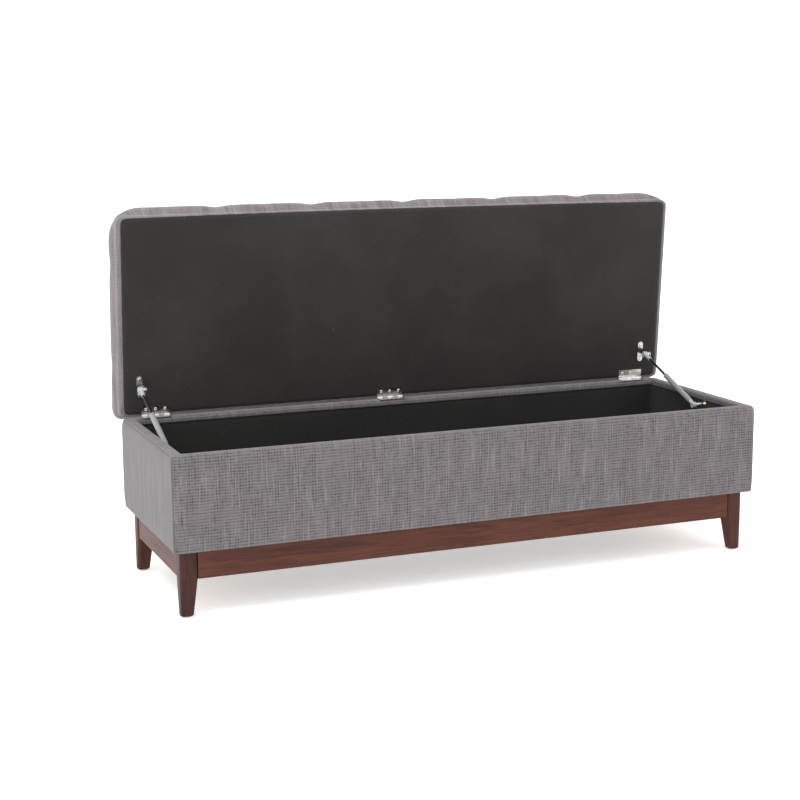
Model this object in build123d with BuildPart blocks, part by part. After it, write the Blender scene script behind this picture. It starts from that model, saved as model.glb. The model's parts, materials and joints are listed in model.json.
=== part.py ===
from build123d import *
import os
from math import atan2, cos, radians, sin, sqrt

# Upholstered storage bench with a hinged lid, held open by a gas strut at each end.
# X runs along the bench, -Y is its front and Z is up from the floor. The lid is drawn open.

# Overall sizes
BENCH_LENGTH = 1372.0
BOX_DEPTH = 446.0
BOX_BASE_Z = 142.0
RIM_Z = 344.0
LID_THICKNESS = 70.0
LID_OPEN_ANGLE = 86.0

# Box walls: wadded fabric outside, board, fabric turned in over the rim, lining below it
SKIN = 5.0
BOARD = 19.0
RIM_WIDTH = 28.0
RIM_RETURN = 13.0
HEM = 1.5
LINING = 1.5
FLOOR_BOARD = 12.0
FLOOR_LINING = 2.0
BOX_CORNER = 10.0
RIM_ROUND = 8.0
RIM_INNER_CORNER = 3.0
BOARD_EDGE = 3.0

# Lid, measured from the hinge pin as it lies when closed
LID_REAR = 2.0
LID_FRONT = 448.0
LID_CORNER = 20.0
LID_EDGE = 18.0
LID_UNDER_EDGE = 4.0
LID_BOARD = 12.0
COVER = 2.0
DUST_COVER = 0.8
DUST_COVER_INSET = 5.0
DUST_COVER_CORNER = 13.0
COVER_HEM = 28.0
HEM_CORNER = 4.0
TUFT_COLUMNS = 5
TUFT_ROWS = 2
TUFT_DEPTH = 15.0
TUFT_MOUTH = 32.0
TUFT_FLOOR = 13.0
BUTTON_RADIUS = 11.0
BUTTON_HEIGHT = 4.5
BUTTON_ROUND = 3.0
TWINE_RADIUS = 1.5

# Hinges
PIN_INSET = 6.5
KNUCKLE = 2.75
PIN_RADIUS = 1.25
RUNNING_GAP = 0.05
HINGE_WIDTH = 63.5
LEAF_DEPTH = 21.0
LEAF = 1.4
LEAF_CORNER = 1.5
KNUCKLES = 5
KNUCKLE_GAP = 0.3
HINGE_X = {"left": -610.0, "middle": -43.0, "right": 610.0}
HINGE_SCREW_REACH = 13.5
HINGE_SCREW_PITCH = 22.0

# Base frame
LEG_END_INSET = 15.0
LEG_FRONT_INSET = 21.0
LEG_TOP = 38.0
LEG_FOOT = 28.0
LEG_CORNER = 9.0
FOOT_CORNER = 10.5
FOOT_ROUND = 3.0
RAIL_DROP = 62.0
RAIL = 20.0
RAIL_SETBACK = 2.5
RAIL_EDGE = 1.5
GLIDE = 3.0
GLIDE_RADIUS = 10.0
BRACE = 20.0
BRACE_HEIGHT = 42.0
BRACE_DROP = 6.0
BOLT_RADIUS = 4.0
BOLT_SINK = 22.0
BOLT_END = 9.0
WASHER_RADIUS = 9.0
WASHER = 1.5
NUT_RADIUS = 7.0
NUT = 5.5
CLEAT = 20.0
CLEAT_LENGTH = 1100.0
CLEAT_SCREWS = 4
FLOOR_CLOTH = 1.0
FLOOR_CLOTH_GAP = 1.0

# Gas struts
# The two lid brackets are the same part, not a pair, so both struts hang to the left of their bracket's ear
STRUT_X = {"left": -650.5, "right": 631.5}
WALL_PIVOT_Y = -50.0
WALL_PIVOT_DROP = 23.0
LID_PIVOT_REACH = 67.0
LID_PIVOT_STANDOFF = 32.0
TUBE_RADIUS = 6.25
TUBE_BORE = 5.2
TUBE_START = 20.0
TUBE_END = 142.0
TUBE_CAP = 3.0
ROD_RADIUS = 3.0
ROD_START = 112.0
GLAND = 9.0
PISTON = 8.0
UPPER_SOCKET = 33.0
BALL = 5.0
NECK = 3.0
CUP_RADIUS = 7.0
CUP_INNER = 6.5
CUP_MOUTH = 4.5
SHANK_RADIUS = 4.75
FLANGE_RADIUS = 9.5
FLANGE = 2.5
FLANGE_SCREW_INSET = 2.6
EAR_OFFSET = 9.5
EAR = 2.0
EAR_WIDTH = 14.0
PLATE_WIDTH = 14.0
PLATE_LENGTH = 50.0
STUD_GAP = 0.3
SEAT_RADIUS = 4.5
RIVET = 1.5
SHANK_LAP = 2.0
SOCKET_GRIP = 12.0

# Worked out from the sizes above
HALF = BENCH_LENGTH / 2
OPEN = radians(LID_OPEN_ANGLE)
LID_LENGTH = BENCH_LENGTH
LID_DEPTH = LID_REAR + LID_FRONT
LID_MID = (LID_REAR - LID_FRONT) / 2
LID_TOP = KNUCKLE + LID_THICKNESS
COVER_UNDER = KNUCKLE + DUST_COVER
BOARD_UNDER = COVER_UNDER + COVER
# The open lid stands behind the box, so the middle of the whole bench is behind the box's middle
LID_BACK = cos(OPEN) * (LID_REAR - LID_EDGE) + sin(OPEN) * (LID_TOP - LID_EDGE) + LID_EDGE
BOX_Y = (PIN_INSET - LID_BACK) / 2
BOX_BACK = BOX_Y + BOX_DEPTH / 2
PIN_Y = BOX_BACK - PIN_INSET
PIN_Z = RIM_Z + KNUCKLE
LID = Plane(origin=(0, PIN_Y, PIN_Z), x_dir=(1, 0, 0), z_dir=(0, sin(OPEN), cos(OPEN)))
LID_UP = Axis((0, PIN_Y, PIN_Z), (0, sin(OPEN), cos(OPEN)))
RAIL_BOTTOM = BOX_BASE_Z - RAIL_DROP
WALL_INNER = SKIN + BOARD
LINING_FACE = HALF - WALL_INNER - LINING
wall_pivot = (BOX_Y + WALL_PIVOT_Y, RIM_Z - WALL_PIVOT_DROP)
lid_pivot = (
    PIN_Y - cos(OPEN) * LID_PIVOT_REACH - sin(OPEN) * LID_PIVOT_STANDOFF,
    PIN_Z + sin(OPEN) * LID_PIVOT_REACH - cos(OPEN) * LID_PIVOT_STANDOFF,
)
rise = lid_pivot[1] - wall_pivot[1]
run = lid_pivot[0] - wall_pivot[0]
strut_length = sqrt(rise**2 + run**2)
strut_angle = atan2(rise, run)
SIDES = {"left": -1, "right": 1}
ENDS = {"front": -1, "rear": 1}

BELOW = (Align.CENTER, Align.CENTER, Align.MAX)
ABOVE = (Align.CENTER, Align.CENTER, Align.MIN)


def save(piece, name):
    piece.part.label = name
    export_step(piece.part, f"parts/{name}.step")


def box_outline(inset, corner):
    """A rounded rectangle inside the box's outline, about the box's own middle."""
    with Locations((0, BOX_Y)):
        RectangleRounded(BENCH_LENGTH - 2 * inset, BOX_DEPTH - 2 * inset, corner)


def box_square(inset, mode=Mode.ADD):
    """The same with square corners."""
    with Locations((0, BOX_Y)):
        Rectangle(BENCH_LENGTH - 2 * inset, BOX_DEPTH - 2 * inset, mode=mode)


def lid_outline(inset, corner, mode=Mode.ADD):
    with Locations((0, LID_MID)):
        RectangleRounded(LID_LENGTH - 2 * inset, LID_DEPTH - 2 * inset, corner, mode=mode)


def screws(name, planes, spots, head, shank, length, head_height=1.4):
    """Countersunk screws with raised, cross-slotted heads, driven down into each plane."""
    raised = 0.6
    slot = head / 4
    with BuildPart(*planes) as group:
        with Locations(*spots):
            Cylinder(shank, length, align=BELOW)
            Cone(shank, head, head_height, align=BELOW)
            Cone(head, head * 0.6, raised, align=ABOVE)
    with BuildPart(*[plane.offset(raised) for plane in planes]) as slots:
        with Locations(*spots):
            Box(head * 1.1, slot, 2 * raised, align=BELOW)
            Box(slot, head * 1.1, 2 * raised, align=BELOW)
    with BuildPart() as finished:
        add(group.part)
        add(slots.part, mode=Mode.SUBTRACT)
    save(finished, name)
    return group.part


os.makedirs("parts", exist_ok=True)

# ---------------------------------------------------------------- screws
hinge_spots = [
    (x + step * HINGE_SCREW_PITCH, -HINGE_SCREW_REACH) for x in HINGE_X.values() for step in (-1, 0, 1)
]
base_leaf_top = Plane((0, PIN_Y, RIM_Z + LEAF))
hinge_base_screws = screws("hinge_base_screws", [base_leaf_top], hinge_spots, 3.4, 1.75, 16)

lid_leaf_face = Plane(LID.offset(KNUCKLE - LEAF).origin, x_dir=(1, 0, 0), z_dir=-LID.z_dir)
lid_spots = [(x, -y) for x, y in hinge_spots]
hinge_lid_screws = screws("hinge_lid_screws", [lid_leaf_face], lid_spots, 3.4, 1.75, 13)

ear_to_plate = EAR_OFFSET + EAR - PLATE_WIDTH / 2
plate_face = Plane(LID.offset(KNUCKLE - EAR).origin, x_dir=(1, 0, 0), z_dir=-LID.z_dir)
plate_screw_step = PLATE_LENGTH / 2 - PLATE_WIDTH / 2
plate_spots = [
    (x + ear_to_plate, LID_PIVOT_REACH + end * plate_screw_step) for x in STRUT_X.values() for end in (-1, 1)
]
lid_bracket_screws = screws("lid_bracket_screws", [plate_face], plate_spots, 3.2, 1.75, 14)

cleat_step = CLEAT_LENGTH / CLEAT_SCREWS
cleat_y = BOX_DEPTH / 2 - LEG_FRONT_INSET - RAIL_SETBACK - RAIL - CLEAT / 2
cleat_under = Plane((0, BOX_Y, BOX_BASE_Z - CLEAT), x_dir=(1, 0, 0), z_dir=(0, 0, -1))
cleat_spots = [
    ((column - (CLEAT_SCREWS - 1) / 2) * cleat_step, end * cleat_y)
    for column in range(CLEAT_SCREWS)
    for end in (-1, 1)
]
cleat_screws = screws("cleat_screws", [cleat_under], cleat_spots, 4.2, 2.25, 30, 2.5)

flange_faces = [
    Plane(origin=(sx * (LINING_FACE - FLANGE), *wall_pivot), x_dir=(0, 0, 1), z_dir=(-sx, 0, 0))
    for sx in SIDES.values()
]
flange_spots = [(0, step * (FLANGE_RADIUS - FLANGE_SCREW_INSET)) for step in (-1, 1)]
wall_bracket_screws = screws("wall_bracket_screws", flange_faces, flange_spots, 2.2, 1.25, 15, 1.2)

# ---------------------------------------------------------------- base frame
leg_x = HALF - LEG_END_INSET
leg_y = BOX_DEPTH / 2 - LEG_FRONT_INSET
foot_x = leg_x - LEG_FOOT / 2
foot_y = leg_y - LEG_FOOT / 2
brace_z = BOX_BASE_Z - BRACE_HEIGHT / 2 - BRACE_DROP
corners = [(end, side) for end in ENDS for side in SIDES]


def corner_plane(end, side):
    """Looks from a leg's inner edge towards the middle of the bench, at the brace's mid height."""
    sx, sy = SIDES[side], ENDS[end]
    edge = (sx * (leg_x - LEG_TOP), BOX_Y + sy * (leg_y - LEG_TOP), brace_z)
    return Plane(origin=edge, x_dir=(0, 0, 1), z_dir=(-sx, -sy, 0))


with BuildPart() as corner_brace_bolts:
    for end, side in corners:
        inward = corner_plane(end, side)
        with BuildSketch(inward.offset(-BOLT_SINK)):
            Circle(BOLT_RADIUS)
        extrude(amount=BOLT_SINK + BRACE + BOLT_END)
        with BuildSketch(inward.offset(BRACE)):
            Circle(WASHER_RADIUS)
        extrude(amount=WASHER)
        with BuildSketch(inward.offset(BRACE + WASHER)):
            RegularPolygon(NUT_RADIUS, 6)
        extrude(amount=NUT)
save(corner_brace_bolts, "corner_brace_bolts")

for end, side in corners:
    sx, sy = SIDES[side], ENDS[end]
    with BuildPart() as leg:
        top = (sx * (leg_x - LEG_TOP / 2), BOX_Y + sy * (leg_y - LEG_TOP / 2))
        foot = (sx * foot_x, BOX_Y + sy * foot_y)
        with BuildSketch(Plane.XY.offset(RAIL_BOTTOM)):
            with Locations(top):
                RectangleRounded(LEG_TOP, LEG_TOP, LEG_CORNER)
        extrude(amount=RAIL_DROP)
        with BuildSketch(Plane.XY.offset(GLIDE)):
            with Locations(foot):
                RectangleRounded(LEG_FOOT, LEG_FOOT, FOOT_CORNER)
        with BuildSketch(Plane.XY.offset(RAIL_BOTTOM)):
            with Locations(top):
                RectangleRounded(LEG_TOP, LEG_TOP, LEG_CORNER)
        loft()
        fillet(leg.faces().sort_by(Axis.Z)[0].edges(), FOOT_ROUND)
        add(corner_brace_bolts.part, mode=Mode.SUBTRACT)
    save(leg, f"leg_{end}_{side}")

with BuildPart() as leg_glides:
    with BuildSketch():
        with Locations((0, BOX_Y)):
            with GridLocations(2 * foot_x, 2 * foot_y, 2, 2):
                Circle(GLIDE_RADIUS)
    extrude(amount=GLIDE)
    fillet(leg_glides.faces().filter_by(Axis.Z).group_by(Axis.Z)[0].edges(), 1)
save(leg_glides, "leg_glides")

rail_length = 2 * (leg_x - LEG_TOP)
for end, sy in ENDS.items():
    with BuildPart() as rail:
        with BuildSketch(Plane.XY.offset(RAIL_BOTTOM)):
            with Locations((0, BOX_Y + sy * (leg_y - RAIL_SETBACK - RAIL / 2))):
                Rectangle(rail_length, RAIL)
        extrude(amount=RAIL_DROP)
        fillet(rail.faces().sort_by(Axis.Z)[0].edges().filter_by(Axis.X), RAIL_EDGE)
    save(rail, f"rail_{end}")

rail_depth = 2 * (leg_y - LEG_TOP)
for side, sx in SIDES.items():
    with BuildPart() as rail:
        with BuildSketch(Plane.XY.offset(RAIL_BOTTOM)):
            with Locations((sx * (leg_x - RAIL_SETBACK - RAIL / 2), BOX_Y)):
                Rectangle(RAIL, rail_depth)
        extrude(amount=RAIL_DROP)
        fillet(rail.faces().sort_by(Axis.Z)[0].edges().filter_by(Axis.Y), RAIL_EDGE)
    save(rail, f"rail_{side}")

# A brace spans each corner at 45 degrees, from rail to rail
step_in = LEG_TOP - RAIL_SETBACK - RAIL
brace_reach = step_in + BRACE * sqrt(2)
with BuildPart() as corner_braces:
    for end, side in corners:
        sx, sy = SIDES[side], ENDS[end]
        edge_x = sx * (leg_x - LEG_TOP)
        edge_y = BOX_Y + sy * (leg_y - LEG_TOP)
        outline = [
            (step_in, -step_in),
            (brace_reach, -step_in),
            (-step_in, brace_reach),
            (-step_in, step_in),
        ]
        with BuildSketch(Plane.XY.offset(brace_z - BRACE_HEIGHT / 2)):
            with BuildLine():
                Polyline([(edge_x - sx * a, edge_y - sy * b) for a, b in outline], close=True)
            make_face()
        extrude(amount=BRACE_HEIGHT)
    add(corner_brace_bolts.part, mode=Mode.SUBTRACT)
save(corner_braces, "corner_braces")

for end, sy in ENDS.items():
    with BuildPart() as rail_cleat:
        with BuildSketch(Plane.XY.offset(BOX_BASE_Z - CLEAT)):
            with Locations((0, BOX_Y + sy * cleat_y)):
                Rectangle(CLEAT_LENGTH, CLEAT)
        extrude(amount=CLEAT)
        add(cleat_screws, mode=Mode.SUBTRACT)
    save(rail_cleat, f"rail_cleat_{end}")

# ---------------------------------------------------------------- box
board_base = BOX_BASE_Z + HEM
board_top = RIM_Z - SKIN
for end, sy in ENDS.items():
    with BuildPart() as box_board:
        with BuildSketch(Plane.XY.offset(board_base)):
            with Locations((0, BOX_Y + sy * (BOX_DEPTH / 2 - SKIN - BOARD / 2))):
                Rectangle(BENCH_LENGTH - 2 * SKIN, BOARD)
        extrude(amount=board_top - board_base)
        fillet(box_board.faces().sort_by(Axis.Z)[-1].edges().filter_by(Axis.X), BOARD_EDGE)
        add(hinge_base_screws, mode=Mode.SUBTRACT)
    save(box_board, f"box_{end}_board")

for side, sx in SIDES.items():
    with BuildPart() as box_board:
        with BuildSketch(Plane.XY.offset(board_base)):
            with Locations((sx * (HALF - SKIN - BOARD / 2), BOX_Y)):
                Rectangle(BOARD, BOX_DEPTH - 2 * WALL_INNER)
        extrude(amount=board_top - board_base)
        fillet(box_board.faces().sort_by(Axis.Z)[-1].edges().filter_by(Axis.Y), BOARD_EDGE)
        add(wall_bracket_screws, mode=Mode.SUBTRACT)
    save(box_board, f"box_{side}_board")

with BuildPart() as box_floor_board:
    with BuildSketch(Plane.XY.offset(BOX_BASE_Z)):
        box_square(WALL_INNER)
    extrude(amount=FLOOR_BOARD + HEM)
    add(cleat_screws, mode=Mode.SUBTRACT)
save(box_floor_board, "box_floor_board")

with BuildPart() as box_cover:
    with BuildSketch(Plane.XY.offset(BOX_BASE_Z)):
        box_outline(0, BOX_CORNER)
    extrude(amount=RIM_Z - BOX_BASE_Z)
    with BuildSketch(Plane.XY.offset(BOX_BASE_Z)):
        box_outline(RIM_WIDTH, RIM_INNER_CORNER)
    extrude(amount=RIM_Z - BOX_BASE_Z, mode=Mode.SUBTRACT)
    fillet(box_cover.faces().filter_by(Axis.Z).sort_by(Axis.Z)[-1].edges(), RIM_ROUND)
    with BuildSketch(Plane.XY.offset(BOX_BASE_Z)):
        box_square(WALL_INNER)
    extrude(amount=RIM_Z - RIM_RETURN - BOX_BASE_Z, mode=Mode.SUBTRACT)
    with BuildSketch(Plane.XY.offset(board_base)):
        box_square(SKIN)
        box_square(WALL_INNER, Mode.SUBTRACT)
    extrude(amount=board_top - board_base, mode=Mode.SUBTRACT)
    add(hinge_base_screws, mode=Mode.SUBTRACT)
save(box_cover, "box_cover")

floor_top = BOX_BASE_Z + HEM + FLOOR_BOARD
with BuildPart() as box_wall_lining:
    with BuildSketch(Plane.XY.offset(floor_top)):
        box_square(WALL_INNER)
        box_square(WALL_INNER + LINING, Mode.SUBTRACT)
    extrude(amount=RIM_Z - RIM_RETURN - floor_top)
    add(wall_bracket_screws, mode=Mode.SUBTRACT)
save(box_wall_lining, "box_wall_lining")

with BuildPart() as box_floor_lining:
    with BuildSketch(Plane.XY.offset(floor_top)):
        box_square(WALL_INNER + LINING)
    extrude(amount=FLOOR_LINING)
save(box_floor_lining, "box_floor_lining")

# Black cloth under the floor, between the cleats
with BuildPart() as underside_dust_cover:
    with BuildSketch(Plane.XY.offset(BOX_BASE_Z - FLOOR_CLOTH)):
        with Locations((0, BOX_Y)):
            RectangleRounded(CLEAT_LENGTH, 2 * (cleat_y - FLOOR_CLOTH_GAP) - CLEAT, HEM_CORNER)
    extrude(amount=FLOOR_CLOTH)
save(underside_dust_cover, "underside_dust_cover")

# ---------------------------------------------------------------- lid
tuft_x = LID_LENGTH / (TUFT_COLUMNS + 1)
tuft_y = LID_DEPTH / TUFT_ROWS


def tufts(height):
    """The places of the buttons, at a height above the hinge pin."""
    columns = [(n - (TUFT_COLUMNS - 1) / 2) * tuft_x for n in range(TUFT_COLUMNS)]
    rows = [LID_MID + (n - (TUFT_ROWS - 1) / 2) * tuft_y for n in range(TUFT_ROWS)]
    return Locations(*[LID.location * Location((x, y, height)) for x in columns for y in rows])


with BuildPart() as lid_buttons:
    with tufts(LID_TOP - TUFT_DEPTH):
        Cylinder(BUTTON_RADIUS, BUTTON_HEIGHT, align=ABOVE)
    fillet(lid_buttons.faces().sort_by(LID_UP)[-TUFT_COLUMNS * TUFT_ROWS :].edges(), BUTTON_ROUND)
    with tufts(BOARD_UNDER + LID_BOARD):
        Cylinder(TWINE_RADIUS, LID_THICKNESS - TUFT_DEPTH - LID_BOARD - COVER, align=ABOVE)
save(lid_buttons, "lid_buttons")

# Board and foam together, over which the cover is pulled
with BuildPart() as lid_core:
    with BuildSketch(LID.offset(BOARD_UNDER)):
        lid_outline(COVER, LID_CORNER - COVER)
    extrude(amount=LID_TOP - COVER - BOARD_UNDER)
    fillet(lid_core.faces().sort_by(LID_UP)[-1].edges(), LID_EDGE - COVER)
    fillet(lid_core.faces().sort_by(LID_UP)[0].edges(), LID_UNDER_EDGE - COVER)
    with tufts(LID_TOP - COVER):
        Cone(TUFT_FLOOR + COVER, TUFT_MOUTH + COVER, TUFT_DEPTH, align=BELOW, mode=Mode.SUBTRACT)
    add(lid_buttons.part, mode=Mode.SUBTRACT)

with BuildPart() as lid_board:
    add(lid_core.part)
    split(bisect_by=LID.offset(BOARD_UNDER + LID_BOARD), keep=Keep.BOTTOM)
    add(hinge_lid_screws, mode=Mode.SUBTRACT)
    add(lid_bracket_screws, mode=Mode.SUBTRACT)
save(lid_board, "lid_board")

with BuildPart() as lid_foam:
    add(lid_core.part)
    split(bisect_by=LID.offset(BOARD_UNDER + LID_BOARD), keep=Keep.TOP)
save(lid_foam, "lid_foam")

with BuildPart() as lid_cover:
    with BuildSketch(LID.offset(COVER_UNDER)):
        lid_outline(0, LID_CORNER)
    extrude(amount=LID_TOP - COVER_UNDER)
    fillet(lid_cover.faces().sort_by(LID_UP)[-1].edges(), LID_EDGE)
    fillet(lid_cover.faces().sort_by(LID_UP)[0].edges(), LID_UNDER_EDGE)
    with tufts(LID_TOP):
        Cone(TUFT_FLOOR, TUFT_MOUTH, TUFT_DEPTH, align=BELOW, mode=Mode.SUBTRACT)
    add(lid_core.part, mode=Mode.SUBTRACT)
    with BuildSketch(LID.offset(COVER_UNDER)):
        lid_outline(COVER_HEM, HEM_CORNER)
    extrude(amount=COVER, mode=Mode.SUBTRACT)
    add(lid_buttons.part, mode=Mode.SUBTRACT)
    add(hinge_lid_screws, mode=Mode.SUBTRACT)
save(lid_cover, "lid_cover")

with BuildPart() as lid_dust_cover:
    with BuildSketch(LID.offset(KNUCKLE)):
        lid_outline(DUST_COVER_INSET, DUST_COVER_CORNER)
    extrude(amount=DUST_COVER)
    add(hinge_lid_screws, mode=Mode.SUBTRACT)
    add(lid_bracket_screws, mode=Mode.SUBTRACT)
save(lid_dust_cover, "lid_dust_cover")

# ---------------------------------------------------------------- hinges
knuckle_length = HINGE_WIDTH / KNUCKLES
PIN_PLANE = Plane(origin=(0, PIN_Y, PIN_Z), x_dir=(0, 1, 0), z_dir=(1, 0, 0))


def hinge_leaf(name, plane, x, own, bore, holes):
    """One leaf lying on the plane, with its own knuckles round the pin."""
    lap = KNUCKLE + KNUCKLE_GAP
    with BuildPart() as leaf:
        with BuildSketch(plane):
            with Locations((x, -(lap + LEAF_DEPTH) / 2)):
                Rectangle(HINGE_WIDTH, LEAF_DEPTH - lap)
        extrude(amount=LEAF)
        upright = leaf.edges().filter_by(Axis(plane.origin, plane.z_dir))
        fillet(upright.group_by(SortBy.DISTANCE)[-1], LEAF_CORNER)
        for n in own:
            start = x - HINGE_WIDTH / 2 + n * knuckle_length
            with BuildSketch(plane):
                with Locations((start + knuckle_length / 2, -lap / 2)):
                    Rectangle(knuckle_length - KNUCKLE_GAP, lap)
            extrude(amount=LEAF)
            with BuildSketch(PIN_PLANE.offset(start + KNUCKLE_GAP / 2)):
                Circle(KNUCKLE)
            extrude(amount=knuckle_length - KNUCKLE_GAP)
        with BuildSketch(PIN_PLANE.offset(x - HINGE_WIDTH / 2)):
            Circle(bore)
        extrude(amount=HINGE_WIDTH, mode=Mode.SUBTRACT)
        add(holes, mode=Mode.SUBTRACT)
    save(leaf, name)


rim_plane = Plane((0, PIN_Y, RIM_Z))
lid_leaf_plane = LID.offset(KNUCKLE - LEAF)
for place, x in HINGE_X.items():
    hinge_leaf(f"hinge_{place}_base_leaf", rim_plane, x, (0, 2, 4), PIN_RADIUS, hinge_base_screws)
    lid_bore = PIN_RADIUS + RUNNING_GAP
    hinge_leaf(f"hinge_{place}_lid_leaf", lid_leaf_plane, x, (1, 3), lid_bore, hinge_lid_screws)
    with BuildPart() as hinge_pin:
        with BuildSketch(PIN_PLANE.offset(x - HINGE_WIDTH / 2 + KNUCKLE_GAP / 2)):
            Circle(PIN_RADIUS)
        extrude(amount=HINGE_WIDTH - KNUCKLE_GAP)
    save(hinge_pin, f"hinge_{place}_pin")

# ---------------------------------------------------------------- gas struts
ROD_END = strut_length - UPPER_SOCKET + SOCKET_GRIP


def strut_plane(x):
    """Its Z runs along the strut from the ball on the wall to the ball on the lid."""
    return Plane(origin=(x, *wall_pivot), x_dir=(1, 0, 0), z_dir=(0, cos(strut_angle), sin(strut_angle)))


def bar(plane, start, end, radius, mode=Mode.ADD):
    """A round bar square to the plane, between two heights above it."""
    with Locations(plane.offset(start)):
        Cylinder(radius, end - start, align=ABOVE, mode=mode)


def facing(hand, x, y, z):
    """A plane whose Z points along the bench, to the left for -1 and to the right for 1."""
    return Plane(origin=(x, y, z), x_dir=(0, 0, 1), z_dir=(hand, 0, 0))


def ball_stud(hand, x, y, z, reach):
    """A ball with its neck running out to the given reach, and a wider seat at the neck's end."""
    axis = facing(hand, x, y, z)
    with BuildPart() as stud:
        with Locations(axis):
            Sphere(BALL)
        bar(axis, 0, reach, NECK)
        bar(axis, CUP_MOUTH + 1, reach, SEAT_RADIUS)
    return stud.part


def socket(hand, x, at, start, end, bore):
    """A moulded cup that snaps over a ball, on a shank along the strut."""
    plane = strut_plane(x)
    centre = plane.offset(at).origin
    axis = facing(hand, x, centre.Y, centre.Z)
    with BuildPart() as cup:
        bar(axis, -CUP_INNER, CUP_MOUTH, CUP_RADIUS)
        fillet(cup.faces().filter_by(Axis.X).edges(), 1.2)
        bar(plane, start, end, SHANK_RADIUS)
        with Locations(axis):
            Sphere(BALL + RUNNING_GAP, mode=Mode.SUBTRACT)
        bar(axis, 0, CUP_MOUTH + 1, NECK + 1, Mode.SUBTRACT)
        if bore:
            bar(plane, start, ROD_END, bore, Mode.SUBTRACT)
    return cup


for side, x in STRUT_X.items():
    plane = strut_plane(x)
    with BuildPart() as strut_cylinder:
        bar(plane, TUBE_START, TUBE_END, TUBE_RADIUS)
        fillet(strut_cylinder.edges().filter_by(GeomType.CIRCLE), 1)
        bar(plane, TUBE_START + TUBE_CAP, TUBE_END, TUBE_BORE, Mode.SUBTRACT)
    save(strut_cylinder, f"strut_{side}_cylinder")

    with BuildPart() as strut_gland:
        bar(plane, TUBE_END - GLAND, TUBE_END, TUBE_BORE)
        bar(plane, TUBE_END - GLAND, TUBE_END, ROD_RADIUS + RUNNING_GAP, Mode.SUBTRACT)
    save(strut_gland, f"strut_{side}_gland")

    with BuildPart() as strut_rod:
        bar(plane, ROD_START, ROD_END, ROD_RADIUS)
    save(strut_rod, f"strut_{side}_rod")

    with BuildPart() as strut_piston:
        bar(plane, ROD_START - PISTON, ROD_START, TUBE_BORE - RUNNING_GAP)
    save(strut_piston, f"strut_{side}_piston")

    lower_socket = socket(SIDES[side], x, 0, CUP_RADIUS - SHANK_LAP, TUBE_START, None)
    save(lower_socket, f"strut_{side}_lower_socket")

    shank = (strut_length - UPPER_SOCKET + CUP_RADIUS, strut_length - CUP_RADIUS + SHANK_LAP)
    upper_socket = socket(1, x, strut_length, *shank, ROD_RADIUS)
    save(upper_socket, f"strut_{side}_upper_socket")

    with BuildPart() as lid_ball_stud:
        add(ball_stud(1, x, *lid_pivot, EAR_OFFSET - STUD_GAP))
    save(lid_ball_stud, f"strut_{side}_lid_ball_stud")

with BuildPart() as wall_brackets:
    for sx in SIDES.values():
        with BuildSketch(facing(sx, sx * (LINING_FACE - FLANGE), *wall_pivot)):
            Circle(FLANGE_RADIUS)
        extrude(amount=FLANGE)
    fillet(wall_brackets.edges().filter_by(GeomType.CIRCLE), 0.5)
    add(wall_bracket_screws, mode=Mode.SUBTRACT)
save(wall_brackets, "wall_brackets")

with BuildPart() as wall_ball_studs:
    for side, x in STRUT_X.items():
        add(ball_stud(SIDES[side], x, *wall_pivot, LINING_FACE - FLANGE - abs(x)))
save(wall_ball_studs, "wall_ball_studs")

for side, x in STRUT_X.items():
    with BuildPart() as lid_bracket:
        with BuildSketch(LID.offset(KNUCKLE - EAR)):
            with Locations((x + ear_to_plate, -LID_PIVOT_REACH)):
                SlotOverall(PLATE_LENGTH, PLATE_WIDTH, rotation=90)
        extrude(amount=EAR)
        ear_plane = Plane(origin=(x + EAR_OFFSET, PIN_Y, PIN_Z), x_dir=-LID.y_dir, z_dir=(1, 0, 0))
        with BuildSketch(ear_plane):
            with Locations((LID_PIVOT_REACH, LID_PIVOT_STANDOFF)):
                Circle(EAR_WIDTH / 2)
            with Locations((LID_PIVOT_REACH, (LID_PIVOT_STANDOFF - KNUCKLE) / 2)):
                Rectangle(EAR_WIDTH, LID_PIVOT_STANDOFF + KNUCKLE)
        extrude(amount=EAR)
        with BuildSketch(facing(1, x + EAR_OFFSET + EAR, *lid_pivot)):
            Circle(SEAT_RADIUS)
        extrude(amount=RIVET)
        add(lid_bracket_screws, mode=Mode.SUBTRACT)
    save(lid_bracket, f"lid_bracket_{side}")
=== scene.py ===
import json
import math

import bpy
import numpy as np
from mathutils import Matrix, Vector, noise


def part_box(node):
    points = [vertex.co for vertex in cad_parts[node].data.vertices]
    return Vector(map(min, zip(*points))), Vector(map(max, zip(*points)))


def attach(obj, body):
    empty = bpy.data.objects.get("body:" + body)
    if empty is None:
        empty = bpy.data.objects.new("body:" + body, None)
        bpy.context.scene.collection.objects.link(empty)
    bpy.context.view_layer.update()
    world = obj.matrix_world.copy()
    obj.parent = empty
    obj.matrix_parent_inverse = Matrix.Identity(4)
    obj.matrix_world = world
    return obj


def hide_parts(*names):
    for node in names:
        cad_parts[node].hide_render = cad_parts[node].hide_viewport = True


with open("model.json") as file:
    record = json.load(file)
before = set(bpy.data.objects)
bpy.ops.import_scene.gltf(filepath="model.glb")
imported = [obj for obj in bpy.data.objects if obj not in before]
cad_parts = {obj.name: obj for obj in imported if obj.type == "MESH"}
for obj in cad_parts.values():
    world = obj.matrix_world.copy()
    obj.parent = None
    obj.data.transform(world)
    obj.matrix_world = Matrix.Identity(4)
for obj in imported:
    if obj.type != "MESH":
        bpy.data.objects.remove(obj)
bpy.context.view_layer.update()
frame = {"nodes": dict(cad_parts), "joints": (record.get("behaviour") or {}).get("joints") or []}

# ------------------------------------------------------------------ places, from the frame

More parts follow.
